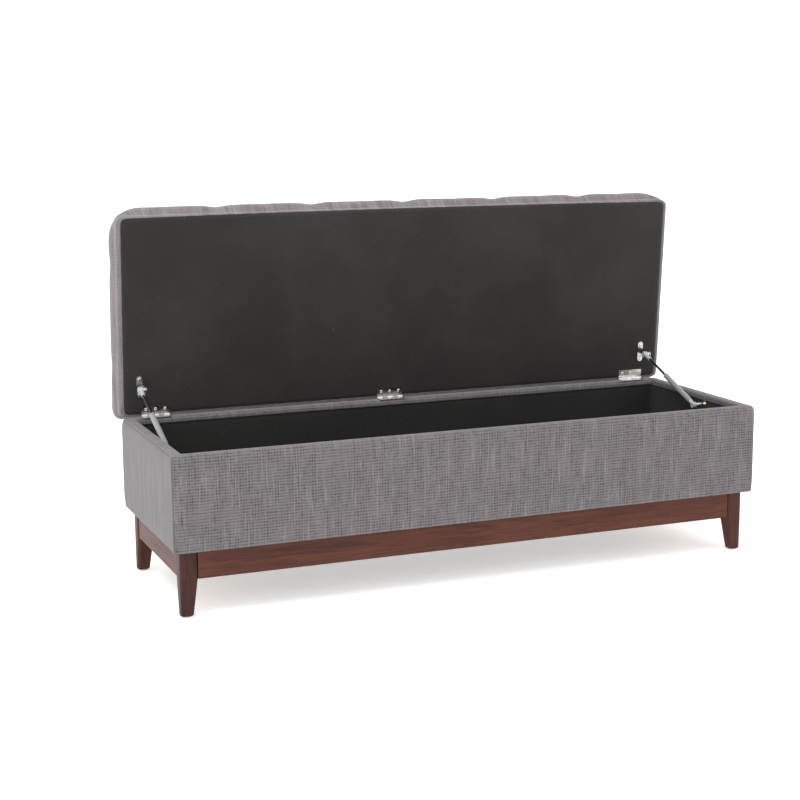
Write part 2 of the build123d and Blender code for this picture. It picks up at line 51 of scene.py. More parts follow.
box_low, box_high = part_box("box_cover")
HALF = box_high.x
BOX_Y = (box_low.y + box_high.y) / 2
BOX_HALF_DEPTH = (box_high.y - box_low.y) / 2
BASE_Z = box_low.z
RIM_Z = box_high.z
PIN = Vector(next(j["pos_m"] for j in frame["joints"] if j["name"] == "lid_hinge"))

# The lid is made as it lies when closed, from the hinge pin, and then turned up to where it stands
LID_OPEN = math.radians(86.0)
LID = Matrix.Translation(PIN) @ Matrix.Rotation(-LID_OPEN, 4, "X")
LID_REAR = 0.002
LID_FRONT = -0.448
LID_UNDER = 0.00355
PIN_TO_CLOTH = 0.00275
LID_TOP = 0.07275
LID_MID = (LID_REAR + LID_FRONT) / 2
LID_DEPTH = LID_REAR - LID_FRONT

TUFT_COLUMNS = 5
TUFT_ROWS = 2
TUFT_STEP = 0.2287
TUFT_X = [(n - (TUFT_COLUMNS - 1) / 2) * TUFT_STEP for n in range(TUFT_COLUMNS)]
TUFT_Y = [LID_MID + (n - (TUFT_ROWS - 1) / 2) * LID_DEPTH / 2 for n in range(TUFT_ROWS)]
BUTTON_RADIUS = 0.0115

HEM_STAPLES = 110
HEM_INSET = 0.011
CLOTH_STAPLES = 72
CLOTH_INSET = 0.006


# ------------------------------------------------------------------ shader building

class Socket:
    """An output of a node. Arithmetic on it adds Math nodes."""

    def __init__(self, finish, out):
        self.finish = finish
        self.out = out

    def maths(self, operation, *others):
        return self.finish.node("ShaderNodeMath", {"operation": operation}, self, *others)

    def swapped(self, operation, other):
        return self.finish.node("ShaderNodeMath", {"operation": operation}, other, self)

    def __add__(self, other):
        return self.maths("ADD", other)

    def __sub__(self, other):
        return self.maths("SUBTRACT", other)

    def __rsub__(self, other):
        return self.swapped("SUBTRACT", other)

    def __mul__(self, other):
        return self.maths("MULTIPLY", other)

    def __truediv__(self, other):
        return self.maths("DIVIDE", other)

    def __pow__(self, other):
        return self.maths("POWER", other)

    __radd__ = __add__
    __rmul__ = __mul__

    def wave(self):
        """A cosine of the value, from 0 to 1, with one crest to each whole number."""
        return (self * (2 * math.pi)).maths("COSINE") * 0.5 + 0.5

    def between(self, low, high):
        """0 below low, 1 above high and a smooth step between them."""
        settings = {"interpolation_type": "SMOOTHSTEP"}
        return self.finish.node("ShaderNodeMapRange", settings, self, low, high, 0.0, 1.0)


class Finish:
    """A material with one Principled shader. What is the same all over is set on the shader's own sockets."""

    def __init__(self, name, **uniform):
        self.material = bpy.data.materials.new(name)
        self.material.use_nodes = True
        self.tree = self.material.node_tree
        self.shader = self.tree.nodes["Principled BSDF"]
        for socket, value in uniform.items():
            self.shader.inputs[socket.replace("_", " ")].default_value = value

    def node(self, kind, settings, *values, output=0, **named):
        made = self.tree.nodes.new(kind)
        for key, value in settings.items():
            setattr(made, key, value)
        inputs = list(enumerate(values)) + [(key.replace("_", " "), value) for key, value in named.items()]
        for key, value in inputs:
            if isinstance(value, Socket):
                self.tree.links.new(value.out, made.inputs[key])
            else:
                made.inputs[key].default_value = value
        return Socket(self, made.outputs[output])

    def place(self, scale=(1.0, 1.0, 1.0)):
        """The point on the object in metres, scaled."""
        at = self.node("ShaderNodeTexCoord", {}, output="Object")
        return self.node("ShaderNodeMapping", {}, at, Scale=scale)

    def cloth_place(self):
        """The place along and across the cloth, in metres."""
        at = self.node("ShaderNodeUVMap", {"uv_map": "cloth"})
        return self.part(at, "X"), self.part(at, "Y")

    def part(self, vector, axis):
        return self.node("ShaderNodeSeparateXYZ", {}, vector, output=axis)

    def point(self, x, y, z=0.0):
        return self.node("ShaderNodeCombineXYZ", {}, x, y, z)

    def noise(self, vector, scale=1.0, detail=2.0, roughness=0.5, distortion=0.0):
        return self.node(
            "ShaderNodeTexNoise", {}, Vector=vector, Scale=scale, Detail=detail, Roughness=roughness,
            Distortion=distortion,
        )

    def mix(self, factor, a, b):
        """Blends two colours. The sockets for colours are numbers 6 and 7, and the result is number 2."""
        made = self.tree.nodes.new("ShaderNodeMix")
        made.data_type = "RGBA"
        sockets = {0: factor, 6: a, 7: b}
        for key, value in sockets.items():
            if isinstance(value, Socket):
                self.tree.links.new(value.out, made.inputs[key])
            else:
                made.inputs[key].default_value = value
        return Socket(self, made.outputs[2])

    def feed(self, socket, value):
        self.tree.links.new(value.out, self.shader.inputs[socket])

    def bump(self, height, strength, distance):
        bumped = self.node("ShaderNodeBump", {}, Height=height, Strength=strength, Distance=distance)
        self.feed("Normal", bumped)


def grey(level):
    return (level, level, level, 1.0)


# ------------------------------------------------------------------ finishes

WEAVE = 0.0062


def upholstery_finish(name, rows, shade):
    """Coarse linen-look cloth: groups of yarns with dark gaps between them, slubs and a faint mottle.

    rows is how strongly the rows show, and shade scales every colour: copies of this cloth with a higher or
    lower shade paint light or shade onto the faces they are put on.
    """
    f = Finish(name, Roughness=0.92, Specular_IOR_Level=0.2, Sheen_Weight=0.25, Sheen_Roughness=0.5)

    # Each colour is scaled by shade, which in the lid-side and box-end copies is painted light and painted
    # shade
    def dye_with_painted_shade(red, green, blue):
        return (red * shade, green * shade, blue * shade, 1)

    along, across = f.cloth_place()
    wander = f.noise(f.point(along * 30.0, across * 30.0), detail=1.0) * 0.5
    column = along / WEAVE + wander
    row = across / WEAVE + wander
    # Some patches show the rows as long dashes, others break them up into squares
    squares = f.noise(f.point(along * 42.0, across * 16.0, 2.2), detail=1.0).between(0.36, 0.62)
    uneven = f.noise(f.point(along * 150.0, across * 150.0, 1.3), detail=1.0).between(0.2, 0.8)
    row_gap = row.wave() ** 1.5 * (0.55 + uneven * 0.45)
    column_gap = column.wave() ** 2.5 * squares
    # Slubs: thin pale and dark runs of uneven warp yarn, and thicker weft here and there
    warp_slub = f.noise(f.point(along * 330.0, across * 15.0, 3.7), detail=1.0).between(0.52, 0.78)
    dark_warp = f.noise(f.point(along * 300.0, across * 19.0, 6.4), detail=1.0).between(0.56, 0.80)
    weft_slub = f.noise(f.point(along * 22.0, across * 260.0, 8.1), detail=1.0).between(0.5, 0.8)
    gap = (row_gap * (0.62 * rows) + column_gap * 0.30 + row_gap * column_gap * 0.35) * (0.6 + uneven * 0.45)
    gap = gap * (1.0 - warp_slub * 0.55) * (1.0 - weft_slub * 0.35) + dark_warp * 0.28
    fine = (column * 3.0).wave() * 0.5 + (row * 3.0).wave() * 0.5
    blotch = f.noise(f.point(along * 8.0, across * 10.0, 5.0), detail=3.0).between(0.38, 0.66)
    body = f.mix(blotch, dye_with_painted_shade(0.170, 0.159, 0.168), dye_with_painted_shade(0.188, 0.161, 0.170))
    band = f.noise(f.point(along * 55.0, across * 3.5, 9.0), detail=2.0).between(0.3, 0.7)
    body = f.mix(band * 0.45, body, dye_with_painted_shade(0.215, 0.198, 0.207))
    light = f.mix(warp_slub * 0.6 + weft_slub * 0.25, body, dye_with_painted_shade(0.285, 0.265, 0.275))
    yarn = f.mix(fine * 0.2, light, dye_with_painted_shade(0.085, 0.078, 0.082))
    blush = f.noise(f.point(along * 75.0, across * 3.0, 4.4), detail=2.0).between(0.42, 0.66)
    yarn = f.mix(blush * (1.0 - rows), yarn, dye_with_painted_shade(0.142, 0.116, 0.126))
    cloth = f.mix(gap.maths("MINIMUM", 1.0), yarn, dye_with_painted_shade(0.032, 0.028, 0.030))
    f.feed("Base Color", cloth)
    height = 1.0 - gap * 0.8 + warp_slub * 0.3 + fine * -0.15
    f.bump(height, 0.55, 0.0009)
    return f.material


def lining_finish(name, low, high):
    """Black non-woven cloth: short matted fibres, a little paler where it is rubbed."""
    f = Finish(name, Roughness=0.95, Specular_IOR_Level=0.15, Sheen_Weight=0.08, Sheen_Roughness=0.6)
    at = f.place()
    fibres = f.noise(at, scale=900.0, detail=3.0, roughness=0.7)
    cloudy = f.noise(at, scale=4.0, detail=4.0, roughness=0.6).between(0.3, 0.75)
    lint = f.noise(at, scale=260.0, detail=1.0).between(0.74, 0.8)
    cloth = f.mix(cloudy, low, high)
    cloth = f.mix(fibres.between(0.35, 0.75) * 0.4, cloth, tuple(c * 1.7 for c in high[:3]) + (1,))
    cloth = f.mix(lint * 0.35, cloth, (0.16, 0.15, 0.15, 1))
    f.feed("Base Color", cloth)
    f.bump(fibres, 0.35, 0.0004)
    return f.material


def walnut_finish(name, grain, depth=1.0, knots=0.0):
    """Stained wood under satin lacquer.

    grain is the axis it runs along, depth scales its colours and knots is how dark its streaks are.
    """
    f = Finish(name, Specular_IOR_Level=0.16, Coat_Roughness=0.36, Coat_Weight=0.04)

    def stained(red, green, blue):
        return (red * depth, green * depth, blue * depth, 1)

    def stretched(across, along):
        return [along if axis == grain else across for axis in range(3)]

    sweep = f.noise(f.place(stretched(16.0, 1.1)), detail=3.0, roughness=0.55, distortion=0.6)
    rings = (sweep * 9.0).wave()
    figure = f.noise(f.place(stretched(35.0, 2.4)), detail=4.0, roughness=0.6)
    streaks = f.noise(f.place(stretched(60.0, 9.0)), detail=3.0, roughness=0.6, distortion=1.4)
    pores = f.noise(f.place(stretched(420.0, 9.0)), detail=2.0, roughness=0.6).between(0.52, 0.7)
    blush = f.noise(f.place(), scale=6.0, detail=2.0).between(0.35, 0.7)
    wood = f.mix(rings * 0.5, stained(0.104, 0.032, 0.019), stained(0.060, 0.018, 0.011))
    wood = f.mix(figure.between(0.45, 0.72) * 0.65, wood, (0.030, 0.011, 0.008, 1))
    wood = f.mix(blush * 0.4, wood, stained(0.130, 0.041, 0.023))
    dark = streaks.between(0.50 - 0.08 * knots, 0.66) * (0.25 + 0.65 * knots)
    wood = f.mix(dark, wood, (0.014, 0.008, 0.008, 1))
    wood = f.mix(pores * 0.5, wood, (0.014, 0.006, 0.005, 1))
    f.feed("Base Color", wood)
    f.feed("Roughness", 0.40 + figure * 0.16)
    f.bump(1.0 - pores * 0.7 + figure * 0.2, 0.25, 0.0004)
    return f.material


def board_finish():
    """Bare softwood and plywood, seen only from below."""
    f = Finish("bare_board", Roughness=0.75)
    streak = f.noise(f.place((2.5, 90.0, 90.0)), scale=1.0, detail=4.0, roughness=0.6)
    knots = f.noise(f.place((6.0, 14.0, 14.0)), scale=1.0, detail=2.0, distortion=1.5)
    wood = f.mix(streak.between(0.35, 0.7), (0.52, 0.36, 0.21, 1), (0.36, 0.23, 0.12, 1))
    wood = f.mix(knots.between(0.62, 0.75) * 0.6, wood, (0.22, 0.12, 0.06, 1))
    f.feed("Base Color", wood)
    f.bump(streak, 0.3, 0.0005)
    return f.material


def plated_finish(name, colour, stain, roughness=0.24):
    """Plated steel: fine rolling marks, dull patches and a few scratches."""
    f = Finish(name, Metallic=1.0)
    rolled = f.noise(f.place((60.0, 1500.0, 1500.0)), scale=1.0, detail=2.0)
    dull = f.noise(f.place(), scale=90.0, detail=3.0).between(0.4, 0.75)
    scratch = f.noise(f.place((900.0, 40.0, 2500.0)), scale=1.0, detail=1.0).between(0.68, 0.74)
    f.feed("Base Color", f.mix(dull * 0.5, colour, stain))
    f.feed("Roughness", roughness + dull * 0.16 + rolled * 0.08 + scratch * 0.1)
    f.bump(rolled * 0.5 - scratch * 0.6, 0.12, 0.0002)
    return f.material


def painted_finish():
    """Light grey paint on the strut tubes, with a slight orange peel and rubbed spots."""
    f = Finish("tube_paint", Specular_IOR_Level=0.5, Coat_Weight=0.25, Coat_Roughness=0.15)
    peel = f.noise(f.place(), scale=700.0, detail=1.0)
    rub = f.noise(f.place(), scale=60.0, detail=4.0).between(0.6, 0.8)
    f.feed("Base Color", f.mix(rub * 0.5, (0.235, 0.24, 0.25, 1), (0.16, 0.165, 0.17, 1)))
    f.feed("Roughness", 0.32 + rub * 0.2)
    f.bump(peel, 0.08, 0.0002)
    return f.material


def rod_finish():
    """Black nitrided steel, ground along its length."""
    f = Finish("black_rod", Metallic=0.85)
    drawn = f.noise(f.place((2500.0, 300.0, 300.0)), scale=1.0, detail=2.0)
    f.feed("Base Color", f.mix(drawn.between(0.4, 0.8), (0.035, 0.035, 0.038, 1), (0.08, 0.08, 0.085, 1)))
    f.feed("Roughness", 0.22 + drawn * 0.15)
    return f.material


def moulded_finish(name, colour, shade, roughness=0.45):
    """Moulded plastic with a fine spark-eroded texture."""
    f = Finish(name, Specular_IOR_Level=0.45)
    texture = f.noise(f.place(), scale=1400.0, detail=2.0)
    flow = f.noise(f.place(), scale=55.0, detail=3.0).between(0.35, 0.7)
    f.feed("Base Color", f.mix(flow, colour, shade))
    f.feed("Roughness", roughness + flow * 0.12)
    f.bump(texture, 0.15, 0.0002)
    return f.material


# The lid's sides use a copy of the cloth painted lighter (painted light) and the box's ends a copy painted
# darker (painted shade), both with calmer rows
UPHOLSTERY = upholstery_finish("grey_upholstery", 1.0, 0.82)
LID_SIDE_UPHOLSTERY_PAINTED_LIGHT = upholstery_finish("grey_upholstery_lid_sides_painted_light", 0.30, 1.0)
END_UPHOLSTERY_PAINTED_SHADE = upholstery_finish("grey_upholstery_ends_painted_shade", 0.30, 0.56)
LID_LINING = lining_finish("black_underside_cloth", (0.017, 0.0148, 0.0144, 1), (0.029, 0.026, 0.0248, 1))
BOX_LINING = lining_finish("black_box_cloth", (0.012, 0.0115, 0.011, 1), (0.019, 0.018, 0.017, 1))
WALNUT_ALONG = walnut_finish("walnut_along", 0, 0.88)
WALNUT_ACROSS = walnut_finish("walnut_across", 1, 0.88)
WALNUT_UPRIGHT = walnut_finish("walnut_upright", 2, 0.64)
WALNUT_STREAKED = walnut_finish("walnut_streaked", 2, 0.46, 0.9)
BOARD = board_finish()
NICKEL = plated_finish("nickel_plate", (0.78, 0.76, 0.73, 1), (0.55, 0.53, 0.50, 1))
LEAF_NICKEL = plated_finish("leaf_nickel", (0.42, 0.41, 0.40, 1), (0.26, 0.25, 0.24, 1), 0.18)
ZINC = plated_finish("yellow_zinc", (0.62, 0.52, 0.33, 1), (0.50, 0.34, 0.24, 1), 0.3)
TUBE_PAINT = painted_finish()
ROD_STEEL = rod_finish()
SOCKET_PLASTIC = moulded_finish("socket_plastic", (0.40, 0.41, 0.43, 1), (0.33, 0.34, 0.36, 1))
GLAND_PLASTIC = moulded_finish("gland_plastic", (0.02, 0.02, 0.02, 1), (0.03, 0.03, 0.03, 1))
GLIDE_PLASTIC = moulded_finish("glide_plastic", (0.62, 0.60, 0.56, 1), (0.52, 0.50, 0.46, 1), 0.4)


# ------------------------------------------------------------------ mesh building

def smooth_step(t):
    t = np.clip(t, 0.0, 1.0)
    return t * t * (3 - 2 * t)


def make_piece(name, points, faces, material, cloth=None):
    """A mesh piece at the origin. cloth holds the place on the cloth of each corner of each face."""
    mesh = bpy.data.meshes.new(name)
    mesh.from_pydata([tuple(p) for p in points], [], [tuple(face) for face in faces])
    if cloth is not None:
        layer = mesh.uv_layers.new(name="cloth")
        layer.data.foreach_set("uv", np.asarray(cloth, np.float32).ravel())
    mesh.materials.append(material)
    mesh.shade_smooth()
    piece = bpy.data.objects.new(name, mesh)
    bpy.context.scene.collection.objects.link(piece)
    return piece


def settle(piece):
    """Replaces the piece's mesh with what its modifiers make of it."""
    bpy.context.view_layer.update()
    graph = bpy.context.evaluated_depsgraph_get()
    made = bpy.data.meshes.new_from_object(piece.evaluated_get(graph))
    piece.modifiers.clear()
    piece.data = made
    made.shade_smooth()
    return piece


def read_points(piece):
    """The piece's points and the directions they face."""
    vertices = piece.data.vertices
    return np.array([v.co for v in vertices]), np.array([v.normal for v in vertices])


def move_points(piece, points):
    piece.data.vertices.foreach_set("co", points.astype(np.float32).ravel())
    piece.data.update()


def open_lid(piece):
    """Turns a piece made in the closed lid's place up to where the lid stands."""
    piece.data.transform(LID)
    return piece


def lumps(points, scale, seed):
    """Smooth noise at each point, from about -1 to 1."""
    shift = Vector((seed * 7.13, seed * 3.71, seed * 5.37))
    return np.array([noise.noise(Vector(p) * scale + shift) for p in points])


def block_surface(xs, ys, zs):
    """The skin of a block of cells: lattice places, quads, and each quad's corners laid out flat as cloth."""
    nx, ny, nz = len(xs) - 1, len(ys) - 1, len(zs) - 1
    number, places = {}, []

    def at(i, j, k):
        if (i, j, k) not in number:
            number[i, j, k] = len(places)
            places.append((i, j, k))
        return number[i, j, k]

    def spread_out(i, j, k, side):
        drop = zs[nz] - zs[k]
        if side == "front":
            return xs[i], ys[0] - drop
        if side == "rear":
            return xs[i], ys[ny] + drop
        if side == "left":
            return xs[0] - drop, ys[j]
        if side == "right":
            return xs[nx] + drop, ys[j]
        return xs[i], ys[j]

    quads, cloth = [], []

    def quad(side, *corners):
        quads.append([at(*c) for c in corners])
        cloth.extend(spread_out(*c, side) for c in corners)

    for i in range(nx):
        for j in range(ny):
            quad("top", (i, j, nz), (i + 1, j, nz), (i + 1, j + 1, nz), (i, j + 1, nz))
            quad("under", (i, j, 0), (i, j + 1, 0), (i + 1, j + 1, 0), (i + 1, j, 0))
    for k in range(nz):
        for i in range(nx):
            quad("front", (i, 0, k), (i + 1, 0, k), (i + 1, 0, k + 1), (i, 0, k + 1))
            quad("rear", (i, ny, k), (i, ny, k + 1), (i + 1, ny, k + 1), (i + 1, ny, k))
        for j in range(ny):
            quad("left", (0, j, k), (0, j, k + 1), (0, j + 1, k + 1), (0, j + 1, k))
            quad("right", (nx, j, k), (nx, j + 1, k), (nx, j + 1, k + 1), (nx, j, k + 1))
    return places, quads, cloth


# ------------------------------------------------------------------ lid cushion

CELL = 0.0076
SIDE_ROLL = 0.022
UNDER_ROLL = 0.003
CORNER_LOW = 0.014
CORNER_HIGH = 0.040
START_TOP = 0.0690
BUTTON_DEPTH = 0.019
CREASE_DEPTH = 0.0065
BOARD_TOP = 0.0185
OVERHANG = 0.0145
CORNER_PULL = 0.060
CORNER_LEAST = 0.3
CREASE_WIDTH = 0.012
CREASE_REACH = 0.022
ROW_CREASE = 0.6
FRONT_CREASE = 0.32
END_CREASE = 0.12
DIMPLE_WIDTH = 0.021
EDGE_BAND = 0.07
# The rear side is fuller at its corners, which are tighter than the front ones
REAR_FULL = 0.045
REAR_CORNER = 0.65
END_SWELL = 0.0058
SWELL_HEIGHT = 0.012
FILL_CAP = 0.012
FILL_FRAMES = 20
WADDING_HOLD = 0.9
BUTTON_SINK = 0.0150


def near_line(along, lines, width):
    off = np.min([np.abs(along - line) for line in lines], axis=0)
    return np.exp(-((off / width) ** 2))


def crease_pull(x, y):
    """1 on the lines that join the buttons and run on to the edges, falling to 0 beside them."""
    return np.maximum(near_line(x, TUFT_X, CREASE_WIDTH), ROW_CREASE * near_line(y, TUFT_Y, CREASE_WIDTH))


def side_overhang(points):
    """How far the wadding carries the sides out past the board, pulled in at the corners and creases."""
    x, y, z = points.T
    t = np.clip((z - BOARD_TOP) / (START_TOP - BOARD_TOP), 0, 1)
    belly = np.sin(math.pi * t**0.85) ** 0.8
    to_end = HALF - np.abs(x)
    to_side = LID_DEPTH / 2 - np.abs(y - LID_MID)

    def pulled(distance, crease):
        return (CORNER_LEAST + (1 - CORNER_LEAST) * smooth_step(distance / CORNER_PULL)) * (1 - crease)

    rear = y > LID_MID
    end_crease = END_CREASE * near_line(y, TUFT_Y, CREASE_REACH)
    out_x = pulled(np.where(rear, to_side + REAR_FULL, to_side), end_crease)
    front_crease = np.where(rear, 0.0, FRONT_CREASE * near_line(x, TUFT_X, CREASE_REACH))
    out_y = pulled(np.where(rear, to_end + REAR_FULL, to_end), front_crease)
    out_x *= OVERHANG * belly * np.clip(1 - to_end / EDGE_BAND, 0, 1)
    out_y *= OVERHANG * belly * np.clip(1 - to_side / EDGE_BAND, 0, 1)
    # The cloth already swells at the ends where it comes round from under the board
    rise = np.clip((z - LID_UNDER) / SWELL_HEIGHT, 0, 1)
    low_swell = np.sqrt(1 - (1 - rise) ** 2) * (1 - belly) * smooth_step(2 - 2 * t)
    out_x += END_SWELL * low_swell * (to_end < 0.004)
    return np.stack([out_x * np.sign(x), out_y * np.sign(y - LID_MID)]).T


def button_distance(x, y):
    return np.min([np.hypot(x - c, y - r) for c in TUFT_X for r in TUFT_Y], axis=0)


def cushion_start():
    """The lid's cloth before it is filled: a rounded block, pulled down at the buttons and creases."""
    def spaced(low, high):
        return np.linspace(low, high, 1 + round((high - low) / CELL))

    xs = spaced(-HALF, HALF)
    ys = spaced(LID_FRONT, LID_REAR)
    rise = START_TOP - LID_UNDER
    heights = [0.0, 0.0012, 0.003, 0.009, BOARD_TOP - LID_UNDER]
    zs = np.concatenate([heights, np.linspace(heights[-1], rise, 8)[1:]]) + LID_UNDER
    places, quads, cloth = block_surface(xs, ys, zs)
    lattice = np.array(places)
    points = np.stack([xs[lattice[:, 0]], ys[lattice[:, 1]], zs[lattice[:, 2]]], axis=1)
    height = points[:, 2] - LID_UNDER

    corner = CORNER_LOW + (CORNER_HIGH - CORNER_LOW) * smooth_step((points[:, 2] - BOARD_TOP) / 0.035)
    corner = corner * np.where(points[:, 1] > LID_MID, REAR_CORNER, 1.0)
    radius = np.stack([corner, corner, np.full(len(points), SIDE_ROLL)], axis=1)
    low = np.array([xs[0], ys[0], LID_UNDER - 1.0]) + radius
    high = np.array([xs[-1], ys[-1], START_TOP]) - radius
    inner = np.clip(points, low, high)
    lean = (points - inner) / radius
    most = np.abs(lean).max(axis=1, keepdims=True)
    length = np.maximum(np.linalg.norm(lean, axis=1, keepdims=True), 1e-9)
    points = inner + radius * lean * most / length

    # The bottom edge rolls in under the board
    roll = np.clip(1 - height / UNDER_ROLL, 0, 1)
    on_side = (lattice[:, 0] % len(xs[:-1]) == 0) | (lattice[:, 1] % len(ys[:-1]) == 0)
    inward = np.where(on_side, UNDER_ROLL * (1 - np.sqrt(1 - roll**2)), 0.0)
    middle = np.array([0.0, LID_MID])
    reach = np.array([xs[-1], (ys[-1] - ys[0]) / 2])
    edge = np.sign(points[:, :2] - middle) * (np.abs(points[:, :2] - middle) > reach - 0.02)
    points[:, :2] -= edge * inward[:, None]
    points[:, :2] += side_overhang(points)

    x, y = points[:, 0], points[:, 1]
    near_top = smooth_step((height - 0.018) / (rise - 0.022))
    from_button = button_distance(x, y)
    dimple = np.exp(-((from_button / DIMPLE_WIDTH) ** 1.4))
    sink = np.maximum(crease_pull(x, y) * CREASE_DEPTH, dimple * BUTTON_DEPTH)
    on_top = lattice[:, 2] == len(zs) - 1
    points[:, 2] -= np.where(on_top, sink, crease_pull(x, y) * CREASE_DEPTH * near_top**2)

    held = np.zeros(len(points))
    held[lattice[:, 2] < len(heights)] = 1.0
    held[on_top & (from_button < 0.010)] = 1.0
    crease = (crease_pull(x, y) > 0.72) & (height > 0.03)
    held[crease] = np.maximum(held[crease], 0.85)
    return points, quads, cloth, held


def fill_cushion(piece, held, cap):
    """Blows the cloth out against its stitching with the Cloth solver, within a cap on how far it moves."""
    group = piece.vertex_groups.new(name="held")
    for level in sorted(set(held)):
        if level > 0:
            group.add([int(i) for i in np.flatnonzero(held == level)], float(level), "REPLACE")
    start, facing = read_points(piece)
    cloth = piece.modifiers.new("cloth", "CLOTH")
    cloth.settings.quality = 6
    cloth.settings.mass = 0.3
    cloth.settings.tension_stiffness = 12
    cloth.settings.compression_stiffness = 8
    cloth.settings.shear_stiffness = 4
    cloth.settings.bending_stiffness = 0.3
    cloth.settings.shrink_min = -0.006
    cloth.settings.use_pressure = True
    cloth.settings.uniform_pressure_force = 4.0
    cloth.settings.vertex_group_mass = "held"
    cloth.settings.pin_stiffness = 1.0
    cloth.settings.effector_weights.gravity = 0.0
    cloth.collision_settings.use_collision = False
    cloth.point_cache.frame_start = 1
    cloth.point_cache.frame_end = FILL_FRAMES
    for step in range(1, FILL_FRAMES + 1):
        bpy.context.scene.frame_set(step)
    settle(piece)
    bpy.context.scene.frame_set(1)
    moved = read_points(piece)[0] - start
    size = np.maximum(np.linalg.norm(moved, axis=1, keepdims=True), 1e-9)
    moved *= np.minimum(1.0, cap / size)
    # The wadding behind the cloth keeps it from being drawn in
    outward = (moved * facing).sum(axis=1, keepdims=True)
    move_points(piece, start + moved - facing * np.minimum(outward, 0.0) * WADDING_HOLD)
    piece.vertex_groups.clear()


def gather_cloth(piece):
    """Small radial folds round each button, and shallow wrinkles along the side faces."""
    points, normals = read_points(piece)
    x, y, z = points.T
    push = np.zeros(len(points))
    top = smooth_step((z - 0.045) / 0.012)
    for number, (column, row) in enumerate((c, r) for c in TUFT_X for r in TUFT_Y):
        dx, dy = x - column, y - row
        distance = np.hypot(dx, dy)
        turn = np.arctan2(dy, dx)
        folds = np.cos(9 * turn + number) + 0.6 * np.cos(5 * turn + 2.3 * number)
        push += 0.0009 * folds * np.exp(-(((distance - 0.017) / 0.012) ** 2)) * top
    push += 0.0006 * lumps(points, 24.0, 1) + 0.0008 * lumps(points, 9.0, 2)
    held = smooth_step((z - LID_UNDER) / 0.01)
    move_points(piece, points + normals * (push * held)[:, None])


def calm_painted_light_sides(piece, material, facing):
    """Puts the cloth's smoother finish, painted lighter or darker for the light on those faces, on the faces
    that the test picks by their normal.
    """
    piece.data.materials.append(material)
    for face in piece.data.polygons:
        face.material_index = int(facing(face.normal))


def lid_cushion():
    points, quads, cloth, held = cushion_start()
    piece = make_piece("lid_cushion", points, quads, UPHOLSTERY, cloth)
    fill_cushion(piece, held, FILL_CAP)
    gather_cloth(piece)
    finer = piece.modifiers.new("finer", "SUBSURF")
    finer.levels = finer.render_levels = 1
    settle(piece)
    # The lid's sides get the calmer cloth painted lighter: painted light
    calm_painted_light_sides(piece, LID_SIDE_UPHOLSTERY_PAINTED_LIGHT, lambda normal: normal.z < 0.6)
    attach(open_lid(piece), "lid")
    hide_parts("lid_cover", "lid_foam")


class Repeat:
    """A geometry nodes tree with named sizes, whose result becomes one plain piece."""

    def __init__(self, name, sizes):
        self.name = name
        self.sizes = sizes
        self.tree = bpy.data.node_groups.new(name, "GeometryNodeTree")
        face = self.tree.interface
        face.new_socket("Geometry", in_out="OUTPUT", socket_type="NodeSocketGeometry")
        for key, value in sizes.items():
            kind = "NodeSocketInt" if isinstance(value, int) else "NodeSocketFloat"
            face.new_socket(key, in_out="INPUT", socket_type=kind)
        self.given = self.tree.nodes.new("NodeGroupInput").outputs

    def node(self, kind, settings, inputs, output=0):
        made = self.tree.nodes.new(kind)
        for key, value in settings.items():
            setattr(made, key, value)
        for key, value in inputs.items():
            if isinstance(value, bpy.types.NodeSocket):
                self.tree.links.new(value, made.inputs[key])
            else:
                made.inputs[key].default_value = value
        return made.outputs[output]

    def maths(self, operation, a, b):
        return self.node("ShaderNodeMath", {"operation": operation}, {0: a, 1: b})

    def scaled(self, shape, x, y, z):
        size = self.node("ShaderNodeCombineXYZ", {}, {0: x, 1: y, 2: z})
        return self.node("GeometryNodeTransform", {}, {"Geometry": shape, "Scale": size})

    def piece(self, spots, material):
        real = self.node("GeometryNodeRealizeInstances", {}, {"Geometry": spots})
        finished = self.node("GeometryNodeSetMaterial", {}, {"Geometry": real, "Material": material})
        self.tree.links.new(finished, self.tree.nodes.new("NodeGroupOutput").inputs[0])
        made = bpy.data.objects.new(self.name, bpy.data.meshes.new(self.name))
        bpy.context.scene.collection.objects.link(made)
        places = made.modifiers.new("places", "NODES")
        places.node_group = self.tree
        for item in self.tree.interface.items_tree:
            if item.in_out == "INPUT":
                places[item.identifier] = self.sizes[item.name]
        return settle(made)


def lid_buttons():
    """Cloth-covered buttons, one at each tuft."""
    sizes = {
        "Columns": TUFT_COLUMNS, "Rows": TUFT_ROWS, "Column step": TUFT_STEP, "Row step": LID_DEPTH / 2,
        "Radius": BUTTON_RADIUS, "Dome": 0.0045,
    }
    b = Repeat("covered_buttons", sizes)
    across = b.maths("MULTIPLY", b.maths("SUBTRACT", b.given["Columns"], 1.0), b.given["Column step"])
    deep = b.maths("MULTIPLY", b.maths("SUBTRACT", b.given["Rows"], 1.0), b.given["Row step"])
    grid = b.node(
        "GeometryNodeMeshGrid", {},
        {"Size X": across, "Size Y": deep, "Vertices X": b.given["Columns"], "Vertices Y": b.given["Rows"]},
    )
    ball = b.node("GeometryNodeMeshUVSphere", {}, {"Segments": 32, "Rings": 16, "Radius": 1.0})
    dome = b.scaled(ball, b.given["Radius"], b.given["Radius"], b.given["Dome"])
    spots = b.node("GeometryNodeInstanceOnPoints", {}, {"Points": grid, "Instance": dome})
    piece = b.piece(spots, UPHOLSTERY)
    piece.data.transform(Matrix.Translation((0, LID_MID, LID_TOP - BUTTON_SINK)))
    lay_flat(piece)
    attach(open_lid(piece), "lid")
    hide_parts("lid_buttons")


